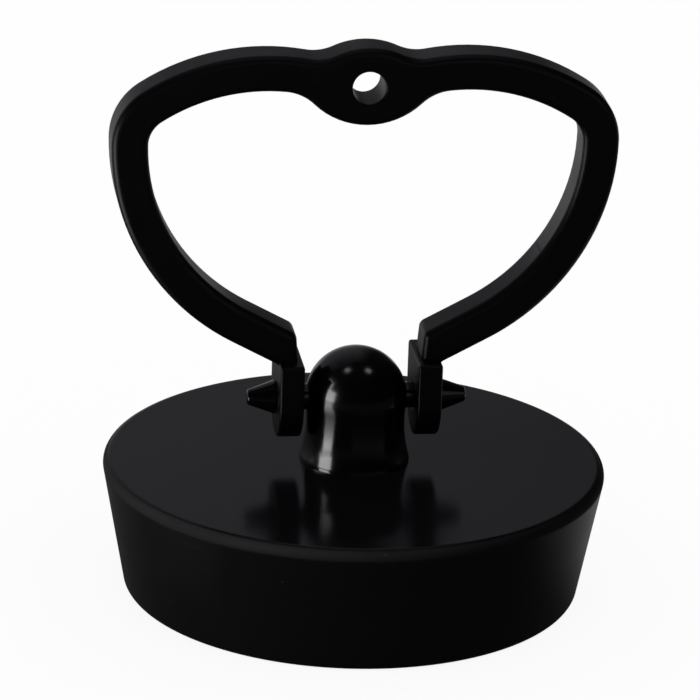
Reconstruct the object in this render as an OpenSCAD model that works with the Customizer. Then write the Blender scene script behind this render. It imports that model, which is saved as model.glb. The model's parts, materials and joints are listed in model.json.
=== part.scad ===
// Rubber drain stopper with a hinged pull handle.
// The origin is the centre of the flat ring that the rubber stands on, +Z is up,
// and the pull stands in the XZ plane with its pivot along X.

/* [Rubber plug] */
// Diameter of the rubber at its top face
plug_top_d = 46; // [44:0.5:52]
// Diameter of the rubber at its bottom face
plug_bottom_d = 42; // [38:0.5:43]
// Height of the rubber
plug_h = 12.3; // [11:0.1:16]
// Radius of the rubber's top and bottom edges
plug_edge_r = 0.8; // [0.3:0.1:1.5]
// Diameter of the hollow underneath, at its mouth
hollow_d = 31; // [28:0.5:34]
// Depth of the hollow underneath
hollow_depth = 6; // [5:0.1:7]
// Draft of the hollow's wall, in degrees
hollow_draft = 5; // [1:1:10]
// Diameter of the boss in the middle of the hollow
boss_d = 14; // [12:0.5:16]
// How far the boss stands down from the hollow's roof
boss_drop = 1.6; // [1:0.1:2.5]

/* [Post] */
// Diameter of the domed head
head_d = 9.3; // [8.6:0.1:10]
// How much the post narrows below its head, on the radius
waist_in = 0.3; // [0.1:0.05:0.6]
// Height of the pivot above the rubber's top face
pivot_h = 6; // [5.8:0.1:8]
// Thickness of the foot at its edge
foot_edge = 0.2; // [0.1:0.05:0.5]
// Radius of the hollow sweep that runs from the head through the waist to the foot
flare_r = 8; // [7:0.5:12]
// Diameter of the stem inside the rubber
stem_d = 6.4; // [5:0.2:7.5]
// Diameter of the anchor's shoulder, under the boss
anchor_d = 11; // [9:0.5:13]
// Diameter of the anchor's flat tip
anchor_tip_d = 6; // [4:0.5:7]
// Thickness of the anchor's shoulder
anchor_rim = 0.8; // [0.5:0.1:1.2]
// Height of the anchor's cone
anchor_cone = 2; // [1.2:0.1:2.2]

/* [Pivot pin] */
// Diameter of the pin
pin_d = 2.4; // [2:0.1:3]
// Diameter of the snap heads where they meet the pin
snap_d = 3.1; // [2.9:0.1:4]
// Diameter of the snap heads at their tips
snap_tip_d = 1.5; // [1:0.1:2]
// Length of each snap head
snap_len = 2.55; // [1.8:0.05:3.5]

/* [Pull handle] */
// Overall width of the pull
pull_w = 45.8; // [42:0.2:50]
// Width of the pull's bar, seen from the front
bar_w = 3.3; // [2.6:0.1:4]
// Thickness of the pull's bar, front to back
bar_t = 4.25; // [3.4:0.05:5]
// Radius of the bar's edges
bar_edge_r = 0.7; // [0.2:0.1:0.9]
// Height of the pull's widest point above the pivot
widest_h = 24.6; // [22:0.2:28]
// Centre-line radius of the two upper corners
corner_r = 4.25; // [3:0.25:6]
// Centre-line radius of the top's two crowns
crown_r = 18.8; // [16:0.2:22]
// Centre-line radius of the sides
side_r = 19.5; // [17:0.5:21]
// Angle above level at which each corner turns into its crown
crown_turn = 57; // [50:1:65]
// Slope of the arms where they run in to the legs, in degrees
arm_slope = 28; // [20:1:35]
// Height of the eye at the top notch, across its hole
eye_h = 7.15; // [6.4:0.05:8.5]
// Radius of the eye's upper and lower edges
eye_r = 7; // [6:0.5:8.5]
// Radius of the hollow curves that blend the eye into the bar
eye_blend_r = 4.2; // [2.5:0.1:5]
// How far the eye's middle sits below the crowns' centre line
eye_drop = 1.3; // [0.8:0.1:1.8]
// Diameter of the hole in the eye
eye_hole_d = 3; // [2:0.1:4]
// Thickness of each leg's knuckle, along the pivot
knuckle_t = 2.2; // [1.6:0.1:3]
// Width of each leg's knuckle, front to back
knuckle_w = 7.3; // [6:0.1:7.6]
// Height of the knuckle's square shoulder above the pivot
shoulder_h = 4.1; // [3.6:0.1:5]
// How far each leg leans outwards between the pivot and its arm
leg_lean = 0.5; // [0:0.1:1]

/* [Fits] */
// Running clearance round the pin in the legs, on the radius
pin_play = 0.05; // [0.02:0.01:0.1]
// Clearance round the pin in the post, on the radius
pin_seat = 0.01; // [0.01:0.01:0.03]
// Clearance between the post's head and each leg's knuckle
leg_clear = 0.55; // [0.3:0.05:0.8]
// End play between a leg and the snap head beside it
leg_play = 0.1; // [0.05:0.05:0.3]
// Clearance round the stem in the rubber, on the radius
stem_seat = 0.02; // [0.01:0.01:0.05]

/* [Hidden] */
$fn = 96;

arc_step = 7.5;                        // degrees between the points of an arc
edge_steps = 3;                        // facets across each rounded edge of the pull

pivot_z = plug_h + pivot_h;
head_r = head_d / 2;
stem_r = stem_d / 2;
anchor_r = anchor_d / 2;
pin_r = pin_d / 2;
roof_z = hollow_depth;
boss_z = roof_z - boss_drop;

// Points of an arc about c, from angle a to angle b.
function arc(c, r, a, b) =
    let (n = max(2, ceil(abs(b - a) / arc_step)))
    [for (i = [0:n]) c + r * [cos(a + (b - a) * i / n), sin(a + (b - a) * i / n)]];

// ---------------------------------------------------------------- rubber plug
low_edge_c = [plug_bottom_d / 2 - plug_edge_r, plug_edge_r];
high_edge_c = [plug_top_d / 2 - plug_edge_r, plug_h - plug_edge_r];
side_lean = atan2(high_edge_c.x - low_edge_c.x, high_edge_c.y - low_edge_c.y);
hollow_r = hollow_d / 2;
hollow_corner_r = 1;                   // radius where the hollow's wall meets its roof
roof_r = hollow_r - (hollow_depth - hollow_corner_r) * tan(hollow_draft);

module plug_section() {
    outside = concat(
        [[0, 0]],
        arc(low_edge_c, plug_edge_r, -90, -side_lean),
        arc(high_edge_c, plug_edge_r, -side_lean, 90),
        [[0, plug_h]]
    );
    polygon(outside);
}

module hollow_section() {
    wall = arc([roof_r - hollow_corner_r, roof_z - hollow_corner_r], hollow_corner_r, 0, 90);
    polygon(concat(
        [[0, -1], [hollow_r + tan(hollow_draft), -1]],
        wall,
        [[boss_d / 2, roof_z], [boss_d / 2, boss_z], [0, boss_z]]
    ));
}

module rubber_plug() {
    color([0.10, 0.10, 0.11])
    difference() {
        rotate_extrude() difference() {
            plug_section();
            hollow_section();
        }
        translate([0, 0, -1]) cylinder(r = stem_r + stem_seat, h = plug_h + 2);
    }
}

// ---------------------------------------------------------------- post
anchor_z = boss_z - anchor_rim - anchor_cone;

// The sweep's centre is level with the waist, and the sweep runs on tangent from the head's sphere.
waist_r = head_r - waist_in;
waist_h = pivot_h - sqrt(pow(head_r + flare_r, 2) - pow(waist_r + flare_r, 2));
head_turn = -acos((waist_r + flare_r) / (head_r + flare_r));
foot_turn = 180 + asin((waist_h - foot_edge) / flare_r);
foot_r = waist_r + flare_r + flare_r * cos(foot_turn);

// The post's outline from the anchor's tip up to the top of the domed head.
module post_section() {
    polygon(concat(
        [[0, anchor_z], [anchor_tip_d / 2, anchor_z]],
        [[anchor_r, boss_z - anchor_rim], [anchor_r, boss_z]],
        [[stem_r, boss_z], [stem_r, plug_h], [foot_r, plug_h]],
        arc([waist_r + flare_r, plug_h + waist_h], flare_r, foot_turn, 180 + head_turn),
        arc([0, pivot_z], head_r, head_turn, 90)
    ));
}

module post() {
    color([0.05, 0.05, 0.05])
    difference() {
        rotate_extrude() post_section();
        rotate([0, 90, 0]) translate([-pivot_z, 0, 0])
            cylinder(r = pin_r + pin_seat, h = 2 * head_d, center = true);
    }
}

// ---------------------------------------------------------------- pivot pin
knuckle_in = head_r + leg_clear;
knuckle_out = knuckle_in + knuckle_t;
snap_x = knuckle_out + leg_play;
snap_nose_r = 0.3;                     // radius round the tip of each snap head

module pin_section() {
    nose = [snap_tip_d / 2 - snap_nose_r, snap_x + snap_len - snap_nose_r];
    half = concat([[pin_r, snap_x], [snap_d / 2, snap_x]], arc(nose, snap_nose_r, 20, 90));
    polygon(concat(
        [[0, snap_x + snap_len]],
        [for (i = [len(half) - 1:-1:0]) half[i]],
        [for (p = half) [p.x, -p.y]],
        [[0, -snap_x - snap_len]]
    ));
}

module pivot_pin() {
    color([0.07, 0.07, 0.07])
    translate([0, 0, pivot_z]) rotate([0, 90, 0]) rotate_extrude() pin_section();
}

// ---------------------------------------------------------------- pull handle
// The outline is drawn in the XZ plane, measured from the pivot. Each point carries
// the direction in which its edge faces: [x, z, facing x, facing z].
half_w = bar_w / 2;
side_turn = arm_slope - 90;
corner_c = [pull_w / 2 - half_w - corner_r, widest_h];
side_c = [pull_w / 2 - half_w - side_r, widest_h];
crown_c = corner_c + (corner_r - crown_r) * [cos(crown_turn), sin(crown_turn)];
eye_z = crown_c.y + crown_r - eye_drop;
eye_top_c = [0, eye_z + eye_h / 2 - eye_r];
eye_low_c = [0, eye_z - eye_h / 2 + eye_r];

function heading(p) = atan2(p.y, p.x);

// Where two circles about a and b meet, on the right of the line from a to b.
function meet(a, ra, b, rb) =
    let (d = norm(b - a), u = (b - a) / d, k = (ra * ra - rb * rb + d * d) / (2 * d))
    a + k * u + sqrt(ra * ra - k * k) * [u.y, -u.x];

// An arc of an edge, with n steps. The solid is inside the arc where side is 1, outside it
// where side is -1. An arc that carries on from the one before leaves out its first point.
function bend(c, r, a, b, side, n, first = 1) = [for (i = [first:n])
    let (t = a + (b - a) * i / n, dir = [cos(t), sin(t)])
    [c.x + r * dir.x, c.y + r * dir.y, side * dir.x, side * dir.y]];

// Blend between the eye's top and the crown's outer edge, and below between its bottom and the inner edge.
outer_crown_r = crown_r + half_w;
inner_crown_r = crown_r - half_w;
top_blend_c = meet(crown_c, outer_crown_r + eye_blend_r, eye_top_c, eye_r + eye_blend_r);
low_blend_c = meet(crown_c, inner_crown_r - eye_blend_r, eye_low_c, eye_r + eye_blend_r);
top_a = heading(top_blend_c - eye_top_c);
top_b = heading(top_blend_c - crown_c);
low_a = heading(low_blend_c - eye_low_c);
low_b = heading(low_blend_c - crown_c);

// The arm's two edges run on from the side's arcs as straight lines into the leg.
arm_face = [sin(arm_slope), -cos(arm_slope)];
arm_low = side_c + (side_r + half_w) * arm_face;
arm_high = side_c + (side_r - half_w) * arm_face;
leg_inset = 0.1;                       // how far the leg lies inside its knuckle's faces
leg_in = knuckle_in + leg_inset;
leg_out = knuckle_out - leg_inset;
armpit_r = 0.8;                        // radius between the arm's underside and the leg
crotch_r = bar_edge_r + 0.1;           // radius of the tip where the arm's upper edge turns down

function arm_z(p, x) = p.y + (x - p.x) * tan(arm_slope);
leg_top_x = leg_in + leg_lean;
armpit_c = [leg_out + armpit_r, arm_z(arm_low, leg_out + armpit_r) - armpit_r / cos(arm_slope)];
crotch_c = [leg_top_x + crotch_r, arm_z(arm_high, leg_top_x + crotch_r) - crotch_r / cos(arm_slope)];

// The two edges of the right half, from the eye round to the leg, point beside point.
eye_n = 4;
blend_n = 4;
crown_n = 6;
corner_n = 8;
side_n = 9;
tip_n = 3;
outer_edge = concat(
    bend(eye_top_c, eye_r, 90, top_a, 1, eye_n, 0),
    bend(top_blend_c, eye_blend_r, top_a + 180, top_b + 180, -1, blend_n),
    bend(crown_c, outer_crown_r, top_b, crown_turn, 1, crown_n),
    bend(corner_c, corner_r + half_w, crown_turn, 0, 1, corner_n),
    bend(side_c, side_r + half_w, 0, side_turn, 1, side_n),
    bend(armpit_c, armpit_r, 90 + arm_slope, 180, -1, tip_n, 0),
    [[leg_out, 0, 1, 0]]
);
inner_edge = concat(
    bend(eye_low_c, eye_r, -90, low_a, 1, eye_n, 0),
    bend(low_blend_c, eye_blend_r, low_a + 180, low_b, -1, blend_n),
    bend(crown_c, inner_crown_r, low_b, crown_turn, -1, crown_n),
    bend(corner_c, corner_r - half_w, crown_turn, 0, -1, corner_n),
    bend(side_c, side_r - half_w, 0, side_turn, -1, side_n),
    bend(crotch_c, crotch_r, 90 + arm_slope, 180, 1, tip_n, 0),
    [[leg_in, 0, -1, 0]]
);

function flip(p) = [-p[0], p[1], -p[2], p[3]];

// The bar's section between an outer point p and an inner point q: four rounded edges,
// and a slight crown in the middle of the front and the back.
bar_crown = 0.04;
turns = [for (i = [0:edge_steps]) 90 * i / edge_steps];
function rounded(p, t, face) = let (inset = bar_edge_r * (1 - sin(t)))
    [p[0] - inset * p[2], face * (bar_t / 2 - bar_crown - bar_edge_r * (1 - cos(t))), p[1] - inset * p[3]];
function section(p, q) = let (middle = (p + q) / 2) concat(
    [[middle[0], -bar_t / 2, middle[1]]],
    [for (t = turns) rounded(p, t, -1)],
    [for (i = [edge_steps:-1:0]) rounded(p, turns[i], 1)],
    [[middle[0], bar_t / 2, middle[1]]],
    [for (t = turns) rounded(q, t, 1)],
    [for (i = [edge_steps:-1:0]) rounded(q, turns[i], -1)]
);

module pull_body() {
    last = len(outer_edge) - 1;
    rings = concat(
        [for (i = [last:-1:1]) section(flip(outer_edge[i]), flip(inner_edge[i]))],
        [for (i = [0:last]) section(outer_edge[i], inner_edge[i])]
    );
    n = len(rings[0]);
    walls = [for (k = [0:len(rings) - 2]) for (i = [0:n - 1])
        let (j = (i + 1) % n, a = k * n + i, b = k * n + j)
        each [[a, b, b + n], [a, b + n, a + n]]];
    left_end = [for (i = [n - 1:-1:0]) i];
    right_end = [for (i = [0:n - 1]) (len(rings) - 1) * n + i];
    polyhedron([for (ring = rings) each ring], concat(walls, [left_end, right_end]), convexity = 8);
}

module knuckle() {
    translate([knuckle_in, 0, 0]) rotate([90, 0, 90]) linear_extrude(knuckle_t) {
        circle(d = knuckle_w);
        translate([-knuckle_w / 2, 0]) square([knuckle_w, shoulder_h]);
    }
}

module pull_handle() {
    color([0.06, 0.06, 0.06])
    translate([0, 0, pivot_z]) difference() {
        union() {
            pull_body();
            knuckle();
            mirror([1, 0, 0]) knuckle();
        }
        rotate([0, 90, 0]) cylinder(r = pin_r + pin_play, h = 2 * pull_w, center = true);
        translate([0, 0, eye_z]) rotate([90, 0, 0]) cylinder(d = eye_hole_d, h = 2 * bar_t, center = true);
    }
}

rubber_plug();
post();
pivot_pin();
pull_handle();
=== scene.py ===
"""Looks for a black rubber drain stopper with a heart-shaped pull that hinges on a cross pin.

The four pieces are made anew on the solids' own sizes, with finer rounds. The exception is the
post, whose waist is shallower and whose flare is wider, as its long highlight shows.
"""

import json
import math

import bpy
from mathutils import Matrix, Vector


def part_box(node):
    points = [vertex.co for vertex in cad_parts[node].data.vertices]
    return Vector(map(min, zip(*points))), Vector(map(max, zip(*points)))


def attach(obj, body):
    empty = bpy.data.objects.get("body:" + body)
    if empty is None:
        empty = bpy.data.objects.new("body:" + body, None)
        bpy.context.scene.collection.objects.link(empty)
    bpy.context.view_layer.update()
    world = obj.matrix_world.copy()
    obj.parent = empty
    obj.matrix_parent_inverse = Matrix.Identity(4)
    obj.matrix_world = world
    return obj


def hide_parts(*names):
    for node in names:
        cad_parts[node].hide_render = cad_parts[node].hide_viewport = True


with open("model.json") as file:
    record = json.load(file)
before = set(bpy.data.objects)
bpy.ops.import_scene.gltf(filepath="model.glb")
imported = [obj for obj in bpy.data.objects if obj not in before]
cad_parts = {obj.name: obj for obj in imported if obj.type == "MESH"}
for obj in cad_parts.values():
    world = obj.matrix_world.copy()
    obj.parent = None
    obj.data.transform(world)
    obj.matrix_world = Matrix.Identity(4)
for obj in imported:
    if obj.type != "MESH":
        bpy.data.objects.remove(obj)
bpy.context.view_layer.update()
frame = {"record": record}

# ---------------------------------------------------------------- sizes and places
mm = 0.001
plug_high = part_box("rubber_plug")[1]
post_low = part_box("post")[0]
pin_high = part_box("pivot_pin")[1]
pull_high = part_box("pull_handle")[1]
pivot = Vector(frame["record"]["behaviour"]["joints"][0]["pos_m"])
chain_hole = next(m for m in frame["record"]["mounts"] if m["name"] == "chain_hole")

# Rubber
rubber_top = plug_high.z
top_r = plug_high.x
bottom_r = 21 * mm
rubber_edge = 0.8 * mm
hollow_r = 15.5 * mm
hollow_depth = 6 * mm
hollow_draft = math.radians(5)
hollow_corner = 1 * mm
boss_r = 7 * mm
boss_drop = 1.6 * mm
boss_z = hollow_depth - boss_drop
stem_seat = 0.02 * mm
top_ring = 8 * mm             # from the bore to a ring that divides the flat top

# Post
head_r = 4.65 * mm
waist_in = 0.15 * mm
waist_r = head_r - waist_in
flare_r = 12 * mm
foot_edge = 0.2 * mm
stem_r = 3.2 * mm
anchor_r = 5.5 * mm
anchor_tip_r = 3 * mm
anchor_rim = 0.8 * mm

# Pivot pin
pin_r = 1.2 * mm
pin_seat = 0.01 * mm          # clearance in the post
pin_play = 0.05 * mm          # clearance in the legs
snap_r = pin_high.z - pivot.z
snap_len = 2.55 * mm
snap_x = pin_high.x - snap_len
snap_chamfer = 0.08 * mm
snap_tip_r = 0.75 * mm
snap_nose = 0.3 * mm
snap_nose_turn = math.radians(20)

# Pull handle
bar_w = 3.3 * mm
bar_t = 4.25 * mm
bar_edge = 0.7 * mm
widest_z = pivot.z + 24.6 * mm
corner_r = 4.25 * mm
crown_r = 18.8 * mm
side_r = 19.5 * mm
crown_turn = math.radians(57)
arm_slope = math.radians(28)
armpit_r = 0.8 * mm
crotch_r = bar_edge + 0.1 * mm
eye_h = 7.15 * mm
eye_r = 7 * mm
eye_blend_r = 4.2 * mm
eye_z = chain_hole["pos_m"][2]
eye_hole_r = chain_hole["dims"]["r_mm"] * mm
eye_lip = 0.15 * mm

# Legs and their knuckles
leg_clear = 0.55 * mm
leg_inset = 0.1 * mm
leg_lean = 0.5 * mm
knuckle_r = pull_high.y
knuckle_t = 2.2 * mm
knuckle_in = head_r + leg_clear
knuckle_out = knuckle_in + knuckle_t
knuckle_edge = 0.25 * mm
shoulder_h = 4.1 * mm
bore_lip = 0.08 * mm
leg_in = knuckle_in + leg_inset
leg_out = knuckle_out - leg_inset
leg_top = leg_in + leg_lean

# ---------------------------------------------------------------- ways of modelling
rightward = Vector((1, 0, 0))
backward = Vector((0, 1, 0))
upward = Vector((0, 0, 1))
along_x = (0, math.pi / 2, 0)
along_y = (math.pi / 2, 0, 0)
weld = 0.0005 * mm                # vertices nearer to each other than this become one
seam = 0.001 * mm                 # vertices nearer to the middle than this join their mirror image
bevel_turn = math.radians(50)     # edges that turn by more than this get a bevel
crease_turn = math.radians(32)    # edges that turn by more than this stay crisp
hole_sides = 64


def start(name, point):
    """A new mesh of one selected vertex, in edit mode."""
    bpy.ops.object.select_all(action="DESELECT")
    bpy.ops.mesh.primitive_plane_add(size=mm)
    piece = bpy.context.object
    piece.name = name
    bpy.ops.object.mode_set(mode="EDIT")
    bpy.ops.mesh.select_mode(type="VERT")
    bpy.ops.mesh.merge(type="CENTER")
    bpy.ops.transform.translate(value=point)
    return piece


def extrude(move):
    bpy.ops.mesh.extrude_region_move(TRANSFORM_OT_translate={"value": move})


def line(here, *points):
    """Draws straight edges from the selected vertex at here through the points."""
    for point in points:
        extrude(Vector(point) - Vector(here))
        here = point
    return Vector(here)


def sweep(here, centre, turn, steps, axis=backward):
    """Draws an arc from the selected vertex at here. The turn is in radians about the axis."""
    bpy.ops.mesh.spin(steps=steps, angle=-turn, center=centre, axis=axis)
    arm = Vector(here) - Vector(centre)
    return Vector(centre) + Matrix.Rotation(turn, 3, axis) @ arm


def toward(angle):
    """The direction at an angle above level in the XZ plane."""
    return Vector((math.cos(angle), 0, math.sin(angle)))


def heading(direction):
    """The angle above level of a direction in the XZ plane."""
    return math.atan2(direction.z, direction.x)


def tidy_mesh():
    bpy.ops.mesh.select_all(action="SELECT")
    bpy.ops.mesh.remove_doubles(threshold=weld)
    bpy.ops.mesh.normals_make_consistent(inside=False)


def revolve(centre, axis, sides):
    """Turns the profile that is being drawn all the way round, and ends edit mode."""
    bpy.ops.mesh.select_all(action="SELECT")
    bpy.ops.mesh.spin(steps=sides, angle=2 * math.pi, center=centre, axis=axis)
    tidy_mesh()
    bpy.ops.object.mode_set(mode="OBJECT")


def select_faces(piece, wanted):
    """Selects the faces that pass the test, in edit mode."""
    bpy.ops.mesh.select_all(action="DESELECT")
    bpy.ops.object.mode_set(mode="OBJECT")
    for face in piece.data.polygons:
        face.select = wanted(face)
    bpy.ops.object.mode_set(mode="EDIT")


def only(piece):
    bpy.ops.object.select_all(action="DESELECT")
    piece.select_set(True)
    bpy.context.view_layer.objects.active = piece


def copy_of(piece, shift):
    """A copy with a mesh of its own, moved by the shift."""
    only(piece)
    bpy.ops.object.duplicate()
    bpy.ops.transform.translate(value=shift)
    bpy.ops.object.transform_apply(location=True, rotation=True, scale=True)
    return bpy.context.object


def apply_modifier(piece, kind, **values):
    only(piece)
    step = piece.modifiers.new(kind.lower(), kind)
    for key, value in values.items():
        setattr(step, key, value)
    bpy.ops.object.modifier_apply(modifier=step.name)


def round_edges(piece, width, segments, **values):
    apply_modifier(
        piece, "BEVEL", width=width, segments=segments,
        limit_method="ANGLE", angle_limit=bevel_turn, **values,
    )


def mirror_across(piece):
    """Adds the other half, across the plane X = 0."""
    apply_modifier(piece, "MIRROR", use_axis=(True, False, False), merge_threshold=seam)


def cut(piece, tool, operation="DIFFERENCE"):
    """Cuts the tool's shape out of the piece, or joins it on, and takes the tool away."""
    apply_modifier(piece, "BOOLEAN", operation=operation, solver="EXACT", object=tool)
    bpy.data.objects.remove(tool, do_unlink=True)


def smooth(piece):
    only(piece)
    bpy.ops.object.shade_smooth_by_angle(angle=crease_turn)
    apply_modifier(piece, "WEIGHTED_NORMAL", keep_sharp=True, weight=80)


# ---------------------------------------------------------------- rubber plug
def make_rubber_plug():
    """The tapered rubber, hollow underneath, with a boss in the middle for the post's anchor."""
    roof_z = hollow_depth - hollow_corner
    roof_r = hollow_r - roof_z * math.tan(hollow_draft)
    lean = math.atan2(top_r - bottom_r, rubber_top - 2 * rubber_edge)
    bore_r = stem_r + stem_seat
    low = Vector((bottom_r - rubber_edge, 0, rubber_edge))
    high = Vector((top_r - rubber_edge, 0, rubber_top - rubber_edge))
    here = Vector((bore_r, 0, rubber_top))
    piece = start("stopper_rubber", here)
    here = line(here, (bore_r + top_ring, 0, rubber_top), (high.x, 0, rubber_top))
    here = sweep(here, high, math.pi / 2 + lean, steps=10)
    here = line(here, low + rubber_edge * toward(-lean))
    here = sweep(here, low, math.pi / 2 - lean, steps=10)
    here = line(here, (hollow_r, 0, 0), (roof_r, 0, roof_z))
    here = sweep(here, (roof_r - hollow_corner, 0, roof_z), -math.pi / 2, steps=8)
    here = line(here, (boss_r, 0, hollow_depth), (boss_r, 0, boss_z), (bore_r, 0, boss_z))
    line(here, (bore_r, 0, rubber_top))
    revolve((0, 0, 0), upward, sides=160)
    smooth(piece)
    return piece


# ---------------------------------------------------------------- post
def make_post():
    """The moulded post: domed head, slight waist, flared foot, stem, and anchor under the rubber."""
    head_turn = math.acos((waist_r + flare_r) / (head_r + flare_r))
    waist_z = pivot.z - (head_r + flare_r) * math.sin(head_turn)
    foot_turn = math.asin((waist_z - rubber_top - foot_edge) / flare_r)
    flare_c = Vector((waist_r + flare_r, 0, waist_z))
    foot_rim = flare_c + flare_r * toward(math.pi + foot_turn)
    here = Vector((0, 0, post_low.z))
    piece = start("stopper_post", here)
    here = line(here, (anchor_tip_r, 0, post_low.z))
    here = line(here, (anchor_r, 0, boss_z - anchor_rim), (anchor_r, 0, boss_z), (stem_r, 0, boss_z))
    here = line(here, (stem_r, 0, rubber_top), (foot_rim.x, 0, rubber_top), foot_rim)
    here = sweep(here, flare_c, foot_turn + head_turn, steps=16)
    sweep(here, pivot, -(math.pi / 2 + head_turn), steps=28)
    revolve((0, 0, 0), upward, sides=128)
    bpy.ops.object.select_all(action="DESELECT")
    bpy.ops.mesh.primitive_cylinder_add(
        vertices=hole_sides, radius=pin_r + pin_seat, depth=3 * head_r,
        location=pivot, rotation=along_x,
    )
    cut(piece, bpy.context.object)
    smooth(piece)
    return piece


# ---------------------------------------------------------------- pivot pin
def make_pivot_pin():
    """The cross pin, with a conical snap head outside each leg. Half is drawn and mirrored."""
    z = pivot.z
    nose_c = Vector((pin_high.x - snap_nose, 0, z + snap_tip_r - snap_nose))
    here = Vector((0, 0, z + pin_r))
    piece = start("stopper_pin", here)
    here = line(here, (snap_x, 0, z + pin_r), (snap_x, 0, z + snap_r - snap_chamfer))
    here = line(here, (snap_x + snap_chamfer, 0, z + snap_r))
    here = line(here, nose_c + snap_nose * toward(math.pi / 2 - snap_nose_turn))
    here = sweep(here, nose_c, math.pi / 2 - snap_nose_turn, steps=6)
    line(here, (pin_high.x, 0, z))
    revolve(pivot, rightward, sides=64)
    mirror_across(piece)
    smooth(piece)
    return piece


# ---------------------------------------------------------------- pull handle
def on_front(x, z):
    """A point in the plane of the pull's front face."""
    return Vector((x, -bar_t / 2, z))


def meet(a, ra, b, rb):
    """Where two circles about a and b meet, on the right of the line from a to b."""
    d = (b - a).length
    u = (b - a) / d
    k = (ra * ra - rb * rb + d * d) / (2 * d)
    return a + k * u + math.sqrt(ra * ra - k * k) * Vector((u.z, 0, -u.x))


def draw_half_heart():
    """Draws the front outline of the right half, from the eye's top round to the leg and back."""
    half = bar_w / 2
    corner_c = on_front(pull_high.x - half - corner_r, widest_z)
    side_c = on_front(pull_high.x - half - side_r, widest_z)
    crown_c = corner_c + (corner_r - crown_r) * toward(crown_turn)
    top_c = on_front(0, eye_z + eye_h / 2 - eye_r)
    low_c = on_front(0, eye_z - eye_h / 2 + eye_r)
    top_blend = meet(crown_c, crown_r + half + eye_blend_r, top_c, eye_r + eye_blend_r)
    low_blend = meet(crown_c, crown_r - half - eye_blend_r, low_c, eye_r + eye_blend_r)
    top_a, top_b = heading(top_blend - top_c), heading(top_blend - crown_c)
    low_a, low_b = heading(low_blend - low_c), heading(low_blend - crown_c)
    side_turn = math.pi / 2 - arm_slope
    arm_face = toward(-side_turn)
    arm_low = side_c + (side_r + half) * arm_face
    arm_high = side_c + (side_r - half) * arm_face

    def under_arm(edge, x, radius):
        """The centre of a round of that radius at x, which touches the arm's edge from below."""
        edge_z = edge.z + (x - edge.x) * math.tan(arm_slope)
        return on_front(x, edge_z - radius / math.cos(arm_slope))

    armpit_c = under_arm(arm_low, leg_out + armpit_r, armpit_r)
    crotch_c = under_arm(arm_high, leg_top + crotch_r, crotch_r)

    first = on_front(0, eye_z + eye_h / 2)
    piece = start("stopper_pull", first)
    here = sweep(first, top_c, math.pi / 2 - top_a, steps=8)
    here = sweep(here, top_blend, top_a - top_b, steps=8)
    here = sweep(here, crown_c, top_b - crown_turn, steps=16)
    here = sweep(here, corner_c, crown_turn, steps=16)
    here = sweep(here, side_c, side_turn, steps=24)
    here = line(here, armpit_c + armpit_r * toward(math.pi / 2 + arm_slope))
    here = sweep(here, armpit_c, -side_turn, steps=6)
    here = line(here, on_front(leg_out, pivot.z), on_front(leg_in, pivot.z))
    here = line(here, on_front(leg_top, crotch_c.z))
    here = sweep(here, crotch_c, side_turn, steps=6)
    here = line(here, arm_high)
    here = sweep(here, side_c, -side_turn, steps=24)
    here = sweep(here, corner_c, -crown_turn, steps=16)
    here = sweep(here, crown_c, crown_turn - low_b, steps=16)
    here = sweep(here, low_blend, low_b - low_a - math.pi, steps=8)
    here = sweep(here, low_c, low_a + math.pi / 2, steps=8)
    line(here, first)
    return piece


def make_pull_handle():
    """The heart: half of it is filled, given depth, mirrored and rounded, then gets its knuckles."""
    piece = draw_half_heart()
    tidy_mesh()
    bpy.ops.mesh.edge_face_add()
    extrude((0, bar_t, 0))
    select_faces(piece, lambda face: abs(face.normal.x) > 0.99 and abs(face.center.x) < seam)
    bpy.ops.mesh.delete(type="FACE")
    tidy_mesh()
    bpy.ops.object.mode_set(mode="OBJECT")
    mirror_across(piece)
    round_edges(piece, bar_edge, segments=6, use_clamp_overlap=False, miter_outer="MITER_SHARP")

    to_left = Vector((-knuckle_in - knuckle_out, 0, 0))
    right_knuckle = make_knuckle()
    left_knuckle = copy_of(right_knuckle, to_left)
    cut(piece, right_knuckle, "UNION")
    cut(piece, left_knuckle, "UNION")
    cut(piece, make_drill(eye_hole_r, eye_lip, bar_t, Vector((0, 0, eye_z)), along_y))
    right_drill = make_drill(pin_r + pin_play, bore_lip, knuckle_t, pivot - to_left / 2, along_x)
    left_drill = copy_of(right_drill, to_left)
    cut(piece, right_drill)
    cut(piece, left_drill)
    smooth(piece)
    return piece


def make_knuckle():
    """The thick round-bottomed end of the right leg, which carries the pin's bore."""
    shoulder_z = pivot.z + shoulder_h
    here = Vector((knuckle_in, -knuckle_r, shoulder_z))
    piece = start("knuckle", here)
    here = line(here, (knuckle_in, -knuckle_r, pivot.z))
    here = sweep(here, (knuckle_in, 0, pivot.z), math.pi, steps=32, axis=rightward)
    line(here, (knuckle_in, knuckle_r, shoulder_z), (knuckle_in, -knuckle_r, shoulder_z))
    tidy_mesh()
    bpy.ops.mesh.edge_face_add()
    extrude((knuckle_t, 0, 0))
    tidy_mesh()
    bpy.ops.object.mode_set(mode="OBJECT")
    round_edges(piece, knuckle_edge, segments=3)
    return piece


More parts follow.
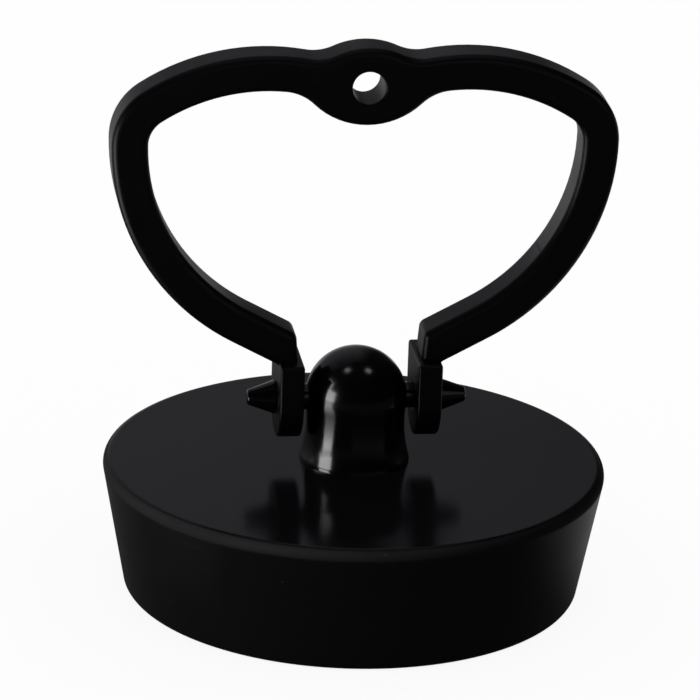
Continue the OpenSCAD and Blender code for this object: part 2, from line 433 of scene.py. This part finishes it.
def make_drill(radius, lip, depth, middle, turn):
    """A drill of the hole's radius that flares at both mouths, so that the rim comes out rounded."""
    rings = ((0.6, 0.2), (0.4, 0.8), (4, 0.8))    # how far each rises and widens, in lips
    bpy.ops.object.select_all(action="DESELECT")
    bpy.ops.mesh.primitive_cylinder_add(vertices=hole_sides, radius=radius, depth=depth - 2 * lip)
    drill = bpy.context.object
    bpy.ops.object.mode_set(mode="EDIT")
    bpy.ops.mesh.select_mode(type="FACE")
    for end in (1, -1):
        select_faces(drill, lambda face: face.normal.z * end > 0.9)
        ring_r = radius
        for rise, widening in rings:
            extrude((0, 0, end * rise * lip))
            growth = (radius + widening * lip) / ring_r
            bpy.ops.transform.resize(value=(growth, growth, 1))
            ring_r = radius + widening * lip
    bpy.ops.object.mode_set(mode="OBJECT")
    drill.rotation_euler = turn
    drill.location = middle
    bpy.ops.object.transform_apply(location=True, rotation=True, scale=True)
    return drill


# ---------------------------------------------------------------- shader nodes
def feed(value, socket):
    """Links a socket to another one, or gives it a plain value."""
    if isinstance(value, bpy.types.NodeSocket):
        socket.id_data.links.new(value, socket)
    else:
        socket.default_value = value


def new_node(tree, kind, inputs=None, **settings):
    """A node with its settings, and with its inputs fed by their names or numbers."""
    node = tree.nodes.new(kind)
    for key, value in settings.items():
        setattr(node, key, value)
    for key, value in (inputs or {}).items():
        feed(value, node.inputs[key])
    return node


def maths(tree, operation, *values):
    node = new_node(tree, "ShaderNodeMath", dict(enumerate(values)), operation=operation)
    return node.outputs["Value"]


def ramp(tree, value, begin, end, at_begin=0, at_end=1):
    """Goes softly from at_begin to at_end while the value goes from begin to end."""
    node = new_node(tree, "ShaderNodeMapRange", {
        "Value": value, "From Min": begin, "From Max": end, "To Min": at_begin, "To Max": at_end,
    }, interpolation_type="SMOOTHSTEP")
    return node.outputs["Result"]


def mix(tree, kind, share, a, b):
    """Goes from a to b while the share goes from 0 to 1."""
    inputs = {"Factor": share, "A": a, "B": b}
    return new_node(tree, "ShaderNodeMix", inputs, data_type=kind).outputs["Result"]


def axes_of(tree, vector):
    return new_node(tree, "ShaderNodeSeparateXYZ", {"Vector": vector}).outputs


def mirrored(tree, ray):
    """One for rays that come off a glossy surface or through a clear one, nought for all others."""
    return maths(tree, "MAXIMUM", ray.outputs["Is Glossy Ray"], ray.outputs["Is Transmission Ray"])


# ---------------------------------------------------------------- finishes
def build_moulded_skin():
    """Masks for any moulded piece: fine grain, slow smears, dust specks and hairline scratches."""
    group = bpy.data.node_groups.new("moulded_skin", "ShaderNodeTree")
    for label, value in (("Grain Scale", 5000.0), ("Smear Scale", 90.0), ("Speck Scale", 900.0)):
        socket = group.interface.new_socket(label, in_out="INPUT", socket_type="NodeSocketFloat")
        socket.default_value = value
    for label in ("Grain", "Smears", "Specks", "Scratches"):
        group.interface.new_socket(label, in_out="OUTPUT", socket_type="NodeSocketFloat")
    scale = new_node(group, "NodeGroupInput").outputs
    place = new_node(group, "ShaderNodeTexCoord").outputs["Object"]

    grain = new_node(group, "ShaderNodeTexNoise", {
        "Vector": place, "Scale": scale["Grain Scale"], "Detail": 3,
    })
    smear = new_node(group, "ShaderNodeTexNoise", {
        "Vector": place, "Scale": scale["Smear Scale"], "Detail": 5, "Distortion": 0.6,
    })
    smears = ramp(group, smear.outputs["Fac"], begin=0.38, end=0.68)

    speck = new_node(group, "ShaderNodeTexVoronoi", {"Vector": place, "Scale": scale["Speck Scale"]})
    dot = ramp(group, speck.outputs["Distance"], begin=0.10, end=0.05)
    tone = new_node(group, "ShaderNodeSeparateColor", {"Color": speck.outputs["Color"]})
    one_in_five = maths(group, "GREATER_THAN", tone.outputs["Red"], 0.8)
    specks = maths(group, "MULTIPLY", dot, one_in_five)

    stretch = new_node(group, "ShaderNodeMapping", {
        "Vector": place, "Rotation": (0.3, 0.5, 0.7), "Scale": (60, 60, 2600),
    })
    hair = new_node(group, "ShaderNodeTexNoise", {
        "Vector": stretch.outputs["Vector"], "Scale": 1, "Detail": 2,
    })
    scratches = ramp(group, hair.outputs["Fac"], begin=0.70, end=0.76)

    new_node(group, "NodeGroupOutput", {
        "Grain": grain.outputs["Fac"], "Smears": smears, "Specks": specks, "Scratches": scratches,
    })
    return group


def build_finish(
    name, skin, colour, dust, specular, rough, smear_rough, grain_scale, grain_mm, grain_share
):
    """A black moulded finish: deep colour, a little dust, uneven gloss and a fine skin."""
    scratch_rough = 0.12
    material = bpy.data.materials.new(name)
    material.use_nodes = True
    tree = material.node_tree
    shader = tree.nodes["Principled BSDF"]
    shader.inputs["Specular IOR Level"].default_value = specular
    surface = new_node(tree, "ShaderNodeGroup", node_tree=skin)
    surface.inputs["Grain Scale"].default_value = grain_scale

    colour_mix = mix(tree, "RGBA", surface.outputs["Specks"], (*colour, 1), (*dust, 1))
    feed(colour_mix, shader.inputs["Base Color"])

    gloss = mix(tree, "FLOAT", surface.outputs["Smears"], rough, smear_rough)
    scratched = maths(tree, "MULTIPLY_ADD", surface.outputs["Scratches"], scratch_rough, gloss)
    feed(scratched, shader.inputs["Roughness"])

    relief = new_node(tree, "ShaderNodeBump", {
        "Height": surface.outputs["Grain"], "Distance": grain_mm * mm, "Strength": grain_share,
    })
    feed(relief.outputs["Normal"], shader.inputs["Normal"])
    return material


def build_rubber(skin):
    """Black rubber: a smooth top, a matt rim where the flash was trimmed, and a satin side."""
    material = build_finish(
        "black_rubber", skin, colour=(0.0012, 0.0012, 0.0015), dust=(0.008, 0.008, 0.009),
        specular=0.2, rough=0.32, smear_rough=0.38,
        grain_scale=4200, grain_mm=0.02, grain_share=0.4,
    )
    rim_rougher = 0.5
    top_rougher = -0.71
    tree = material.node_tree
    rough = tree.nodes["Principled BSDF"].inputs["Roughness"]
    side_rough = rough.links[0].from_socket
    height = axes_of(tree, new_node(tree, "ShaderNodeTexCoord").outputs["Object"])["Z"]
    on_rim = ramp(tree, height, rubber_top - 1.5 * rubber_edge, rubber_top - rubber_edge)
    on_top = ramp(tree, height, rubber_top - 0.25 * rubber_edge, rubber_top - 0.02 * rubber_edge)
    trimmed = maths(tree, "MULTIPLY_ADD", on_rim, rim_rougher, side_rough)
    feed(maths(tree, "MULTIPLY_ADD", on_top, top_rougher, trimmed), rough)
    return material


def build_gloss_black(skin):
    """The post's and the pin's polished moulding."""
    return build_finish(
        "gloss_black", skin, colour=(0.0007, 0.0007, 0.0008), dust=(0.008, 0.008, 0.008),
        specular=0.6, rough=0.14, smear_rough=0.20,
        grain_scale=2500, grain_mm=0.01, grain_share=0.15,
    )


def build_satin_black(skin):
    """The pull's satin moulding."""
    return build_finish(
        "satin_black", skin, colour=(0.0009, 0.0008, 0.0010), dust=(0.008, 0.008, 0.008),
        specular=0.25, rough=0.34, smear_rough=0.44,
        grain_scale=3500, grain_mm=0.015, grain_share=0.3,
    )


def dress(piece, material, body, node):
    piece.data.materials.clear()
    piece.data.materials.append(material)
    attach(piece, body)
    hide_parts(node)


# ---------------------------------------------------------------- floor, light and camera
def bearing(azimuth, elevation):
    """The direction from the stopper to a place round it, from its angles in degrees."""
    a, e = math.radians(azimuth), math.radians(elevation)
    return Vector((math.sin(a) * math.cos(e), -math.cos(a) * math.cos(e), math.sin(e)))


def build_painted_light_band(tree, place):
    """A painted pool of light on the floor, for mirror rays: a wedge that opens towards the left
    lamp.
    """
    wedge_turn = math.radians(164)
    # brightness of the painted light
    level = 4
    turned = new_node(tree, "ShaderNodeMapping", {"Vector": place, "Rotation": (0, 0, wedge_turn)})
    axes = axes_of(tree, turned.outputs["Vector"])
    slant = maths(tree, "ABSOLUTE", maths(tree, "DIVIDE", axes["Y"], axes["X"]))
    across = ramp(tree, slant, begin=0.32, end=0.18)
    along = ramp(tree, axes["X"], begin=0.05, end=0.07, at_end=level)
    return maths(tree, "MULTIPLY", across, along)


def build_painted_floor_light(tree):
    """Painted light on the floor, seen only in mirror rays: dim, but lighter behind, at the right
    and the left.
    """
    place = new_node(tree, "ShaderNodeTexCoord").outputs["Object"]
    back = axes_of(tree, place)["Y"]
    near_back = ramp(tree, back, begin=-0.03, end=0.08, at_begin=0.03, at_end=0.20)
    far_back = ramp(tree, back, begin=0.07, end=0.10, at_end=0.3)
    # middle of a painted patch of light at the right
    patch_middle = (0.05, 0.014, 0)
    away = new_node(tree, "ShaderNodeVectorMath", {0: place, 1: patch_middle}, operation="DISTANCE")
    right_patch = ramp(tree, away.outputs["Value"], begin=0.04, end=0.015, at_end=0.32)
    around = maths(tree, "ADD", maths(tree, "ADD", near_back, far_back), right_patch)
    return maths(tree, "ADD", around, build_painted_light_band(tree, place))


def build_floor():
    """A wide plain floor that is white to the camera and keeps a soft shadow."""
    floor_size = 4
    glow_share = 0.90
    bpy.ops.object.select_all(action="DESELECT")
    bpy.ops.mesh.primitive_plane_add(size=floor_size)
    floor = bpy.context.object
    floor.name = "floor"
    material = bpy.data.materials.new("white_floor")
    material.use_nodes = True
    material.cycles.emission_sampling = "NONE"
    tree = material.node_tree
    paint = tree.nodes["Principled BSDF"]
    paint.inputs["Base Color"].default_value = (0.9, 0.9, 0.9, 1)
    paint.inputs["Roughness"].default_value = 0.9
    paint.inputs["Specular IOR Level"].default_value = 0
    ray = new_node(tree, "ShaderNodeLightPath")
    in_mirror = mirrored(tree, ray)
    # in mirror rays the floor is no lit surface but glows with painted light
    strength = mix(tree, "FLOAT", in_mirror, 1, build_painted_floor_light(tree))
    glow = new_node(tree, "ShaderNodeEmission", {"Strength": strength})
    share = maths(tree, "MULTIPLY_ADD", ray.outputs["Is Camera Ray"], glow_share, in_mirror)
    blend = new_node(tree, "ShaderNodeMixShader", {
        0: share, 1: paint.outputs["BSDF"], 2: glow.outputs["Emission"],
    })
    feed(blend.outputs["Shader"], tree.nodes["Material Output"].inputs["Surface"])
    floor.data.materials.append(material)


def build_lamp(name, angles, distance, size, power, pieces):
    """A soft box that faces the stopper and lights only the named pieces.

    Its azimuth and elevation are in degrees, its distance, width and height in metres, and its
    power in watts.
    """
    away = bearing(*angles)
    data = bpy.data.lights.new(name, "AREA")
    data.shape = "RECTANGLE"
    data.size, data.size_y = size
    data.energy = power
    lamp = bpy.data.objects.new(name, data)
    bpy.context.collection.objects.link(lamp)
    lamp.location = Vector((0, 0, rubber_top)) + away * distance
    lamp.rotation_mode = "QUATERNION"
    lamp.rotation_quaternion = (-away).to_track_quat("-Z", "Y")
    lit = bpy.data.collections.new(name + "_pieces")
    for piece in pieces:
        lit.objects.link(bpy.data.objects[piece])
    lamp.light_linking.receiver_collection = lit


def build_lamps():
    """One lamp can't give every piece the reflections of the photograph, so each has its own."""
    post_alone = ("stopper_post",)
    rubber_alone = ("stopper_rubber",)
    post_and_pin = ("stopper_post", "stopper_pin")
    all_but_post = ("stopper_rubber", "stopper_pull", "stopper_pin")
    build_lamp("strip_low", (-71, 8), 0.5, (0.25, 0.18), 0.9, post_alone)
    build_lamp("strip_high", (-87, 25), 0.5, (0.22, 0.14), 0.5, post_alone)
    build_lamp("strip_for_rubber", (-71, 21), 0.5, (0.20, 0.25), 3.8, rubber_alone)
    build_lamp("front_panel", (25, 20), 0.6, (0.9, 0.30), 0.17, all_but_post)
    build_lamp("overhead_panel", (0, 86), 0.6, (0.5, 0.5), 0.15, all_but_post)
    build_lamp("ceiling_left", (-73, 70), 0.7, (0.12, 0.12), 0.10, post_and_pin)
    build_lamp("ceiling_right", (65, 67), 0.7, (0.12, 0.12), 0.10, post_and_pin)


def build_world():
    """Even light for the surfaces, white behind everything, and a dim room in reflections."""
    room_tint = (0.90, 0.91, 1, 1)
    world = bpy.data.worlds.new("studio")
    bpy.context.scene.world = world
    world.use_nodes = True
    world.cycles.sampling_method = "NONE"
    tree = world.node_tree
    background = tree.nodes["Background"]
    way = axes_of(tree, new_node(tree, "ShaderNodeTexCoord").outputs["Generated"])
    behind = ramp(tree, way["Y"], begin=-0.1, end=0.8, at_begin=0.004, at_end=0.21)
    leftward = ramp(tree, way["X"], begin=0.40, end=0.05, at_begin=0.1)
    horizon = ramp(tree, way["Z"], begin=0.02, end=0.24, at_begin=2.2)
    room = maths(tree, "MULTIPLY", maths(tree, "MULTIPLY", behind, leftward), horizon)
    ray = new_node(tree, "ShaderNodeLightPath")
    in_mirror = mirrored(tree, ray)
    feed(mix(tree, "RGBA", in_mirror, (1, 1, 1, 1), room_tint), background.inputs["Color"])
    level = mix(tree, "FLOAT", in_mirror, 1, room)
    feed(maths(tree, "MAXIMUM", ray.outputs["Is Camera Ray"], level), background.inputs["Strength"])


def build_camera():
    """The camera of the photograph: its place, its small roll and its long lens."""
    azimuth, elevation = -8.2, 21.2
    roll = math.radians(1.95)
    distance = 450 * mm
    frame_px = 700
    px_per_mm = 10.894
    target = Vector((0, 0, 12.32 * mm))
    target_px = (353.9, 456.3)
    sensor_mm = 36

    away = bearing(azimuth, elevation)
    level = Vector((math.cos(math.radians(azimuth)), math.sin(math.radians(azimuth)), 0))
    steep = away.cross(level)
    right = math.cos(roll) * level + math.sin(roll) * steep
    up = math.cos(roll) * steep - math.sin(roll) * level
    middle = frame_px / 2
    aim = target + ((middle - target_px[0]) * right + (target_px[1] - middle) * up) * mm / px_per_mm
    place = target + away * distance
    back = (place - aim).normalized()
    across = up.cross(back).normalized()
    data = bpy.data.cameras.new("camera")
    data.sensor_width = sensor_mm
    data.lens = sensor_mm * px_per_mm * distance / mm / frame_px
    data.clip_start = 0.01
    data.clip_end = 10
    camera = bpy.data.objects.new("camera", data)
    bpy.context.collection.objects.link(camera)
    turn = Matrix((across, back.cross(across), back)).transposed()
    camera.matrix_world = Matrix.Translation(place) @ turn.to_4x4()
    bpy.context.scene.camera = camera


# ---------------------------------------------------------------- the scene
skin = build_moulded_skin()
rubber = build_rubber(skin)
gloss = build_gloss_black(skin)
satin = build_satin_black(skin)

dress(make_rubber_plug(), rubber, "plug", "rubber_plug")
dress(make_post(), gloss, "plug", "post")
dress(make_pivot_pin(), gloss, "plug", "pivot_pin")
dress(make_pull_handle(), satin, "pull", "pull_handle")

build_floor()
build_world()
build_camera()
build_lamps()

bpy.context.scene.view_settings.view_transform = "Standard"
